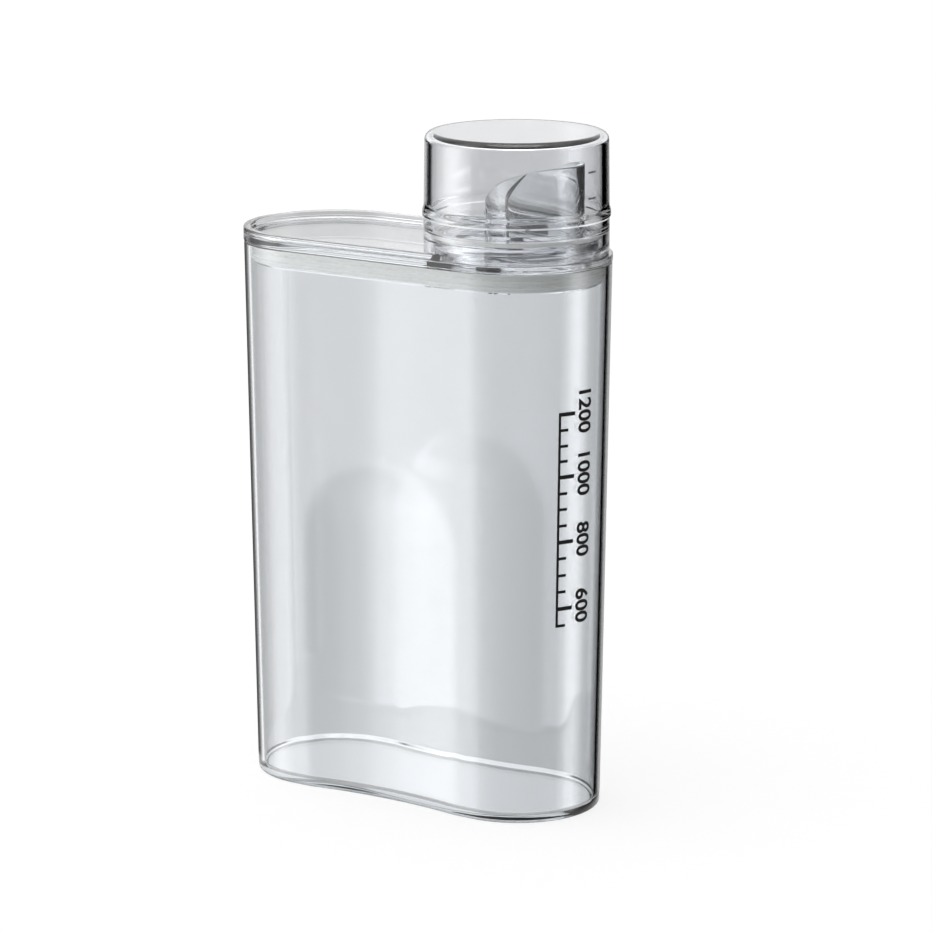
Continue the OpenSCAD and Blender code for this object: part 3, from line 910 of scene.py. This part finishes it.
def seen(tree, straight, through, mirrored, plain):
    """Light by how it is seen: straight, through clear plastic, in a mirror image, or as plain light."""
    path = add(tree, "ShaderNodeLightPath").outputs
    in_mirror = add(tree, "ShaderNodeMath", {0: path["Glossy Depth"], 1: 0.5}, operation="GREATER_THAN").outputs[0]
    as_plain = add(tree, "ShaderNodeMath", {0: path["Diffuse Depth"], 1: 0.5}, operation="GREATER_THAN").outputs[0]
    light = pick(tree, path["Is Camera Ray"], through, straight)
    light = pick(tree, in_mirror, light, mirrored)
    plain = times(tree, plain, pick(tree, path["Is Transmission Ray"], 1.0, PLAIN_INSIDE))
    return pick(tree, as_plain, light, plain)


def step(tree, value, low, high):
    """0 below low and 1 above high, with a ramp between them."""
    return add(tree, "ShaderNodeMapRange", {"Value": value, "From Min": low, "From Max": high}).outputs["Result"]


# %% [markdown]
# ## Sky
# The world gives the ring of bands above the horizon, and below it what the plastic shows of a table that
# runs on. What is seen depends on the way there: straight on, mirrored, through plastic, or as plain light
# on a matt surface. A photographer does the same with cards and screens that stay outside the picture.

# %% Sky
# Its lower half is only seen in mirror images and through the plastic, for which the near floor is open
world = bpy.data.worlds.new("studio")
world.use_nodes = True
bpy.context.scene.world = world
tree = world.node_tree
tree.nodes.clear()
direction = add(tree, "ShaderNodeTexCoord").outputs["Generated"]
rise = add(tree, "ShaderNodeSeparateXYZ", {"Vector": direction}).outputs["Z"]
is_up = step(tree, rise, -0.001, 0.001)
is_steep = step(tree, rise, -0.4, -0.6)
through = times(tree, band_light(tree, direction, THROUGH_BANDS), pick(tree, is_up, THROUGH_NEAR, THROUGH_FAR))
through = pick(tree, step(tree, rise, 0.18, 0.32), through, ABOVE)
through = pick(tree, is_steep, through, BELOW)
overhead = pick(tree, step(tree, rise, 0.93, 0.97), OVERHEAD, ZENITH)
upper = pick(tree, step(tree, rise, 0.72, 0.9), band_light(tree, direction, SKY_BANDS), overhead)
mirrored = pick(tree, is_up, pick(tree, is_steep, band_light(tree, direction, NEAR_BANDS), BELOW), upper)
glow = seen(tree, 1.0, through, mirrored, band_light(tree, direction, PLAIN_BANDS))
light = add(tree, "ShaderNodeBackground", {"Color": (1, 1, 1, 1), "Strength": glow})
add(tree, "ShaderNodeOutputWorld", {"Surface": light.outputs["Background"]})

# %% [markdown]
# ## Floor
# A sheet of pale paper. Straight on it is nearly white of its own and takes the bottle's shadow. Close to the bottle
# a painted shadow makes it dark in mirror images under the base, standing for the gap between base and paper.

# %% Floor
# Seen straight on it is white paper: most of the white is its own, the rest is lit and keeps the shadow
PAPER_OWN, PAPER_LIT = 0.76, 0.28
floor_material = new_material("pale_studio_floor")
tree = floor_material.node_tree
position = add(tree, "ShaderNodeNewGeometry").outputs["Position"]
away = add(tree, "ShaderNodeVectorMath", {0: position}, operation="LENGTH").outputs["Value"]
is_far = step(tree, away, NEAR_RADIUS - 0.08, NEAR_RADIUS + 0.08)
# The bottle's footprint: distance from the line between the two centres of its round ends
parts = add(tree, "ShaderNodeSeparateXYZ", {"Vector": position}).outputs
along = add(tree, "ShaderNodeMath", {0: parts["X"]}, operation="ABSOLUTE").outputs[0]
beyond_end = add(tree, "ShaderNodeMath", {0: along, 1: END_X * MM}, operation="SUBTRACT").outputs[0]
beyond_end = add(tree, "ShaderNodeMath", {0: beyond_end, 1: 0.0}, operation="MAXIMUM").outputs[0]
off_line = add(tree, "ShaderNodeCombineXYZ", {"X": beyond_end, "Y": parts["Y"]}).outputs["Vector"]
off_line = add(tree, "ShaderNodeVectorMath", {0: off_line}, operation="LENGTH").outputs["Value"]
is_clear_of_bottle = step(tree, off_line, (BASE_R + 3) * MM, (BASE_R + 8) * MM)
# Painted shadow: in mirror images the floor's glow is set dark inside the bottle's footprint
mirror_glow_with_painted_shadow = pick(tree, step(tree, off_line, (BASE_R - 4) * MM, (BASE_R + 1) * MM), PAINTED_SHADOW_UNDER, BESIDE)
mirrored = pick(tree, is_clear_of_bottle, mirror_glow_with_painted_shadow, band_light(tree, position, FAR_BANDS))
through = times(tree, band_light(tree, position, THROUGH_BANDS), THROUGH_FAR)
glow = seen(tree, PAPER_OWN, through, mirrored, band_light(tree, position, PLAIN_BANDS))
shine = add(tree, "ShaderNodeEmission", {"Color": (1, 1, 1, 1), "Strength": glow})
matte = add(tree, "ShaderNodeBsdfDiffuse", {"Color": (PAPER_LIT, PAPER_LIT, PAPER_LIT, 1)})
both = add(tree, "ShaderNodeAddShader", {0: shine.outputs[0], 1: matte.outputs[0]})
path = add(tree, "ShaderNodeLightPath").outputs
paper = add(tree, "ShaderNodeMixShader", {0: path["Is Camera Ray"], 1: shine.outputs[0], 2: both.outputs[0]})
# Open to rays that come mirrored or through plastic to the near floor, so that the sky's lower half answers
in_mirror = add(tree, "ShaderNodeMath", {0: path["Glossy Depth"], 1: 0.5}, operation="GREATER_THAN").outputs[0]
as_plain = add(tree, "ShaderNodeMath", {0: path["Diffuse Depth"], 1: 0.5}, operation="GREATER_THAN").outputs[0]
is_open = pick(tree, in_mirror, 1.0, is_clear_of_bottle)
is_open = pick(tree, is_far, is_open, 0.0)
is_open = pick(tree, path["Is Camera Ray"], is_open, 0.0)
is_open = pick(tree, as_plain, is_open, 0.0)
clear = add(tree, "ShaderNodeBsdfTransparent")
result = add(tree, "ShaderNodeMixShader", {0: is_open, 1: paper.outputs[0], 2: clear.outputs[0]})
add(tree, "ShaderNodeOutputMaterial", {"Surface": result.outputs[0]})
floor = piece("studio_floor", [(-9000, -9000, -0.05), (9000, -9000, -0.05), (9000, 9000, -0.05), (-9000, 9000, -0.05)], [(0, 1, 2, 3)])
floor.data.materials.append(floor_material)

bpy.context.scene.view_settings.view_transform = "Standard"
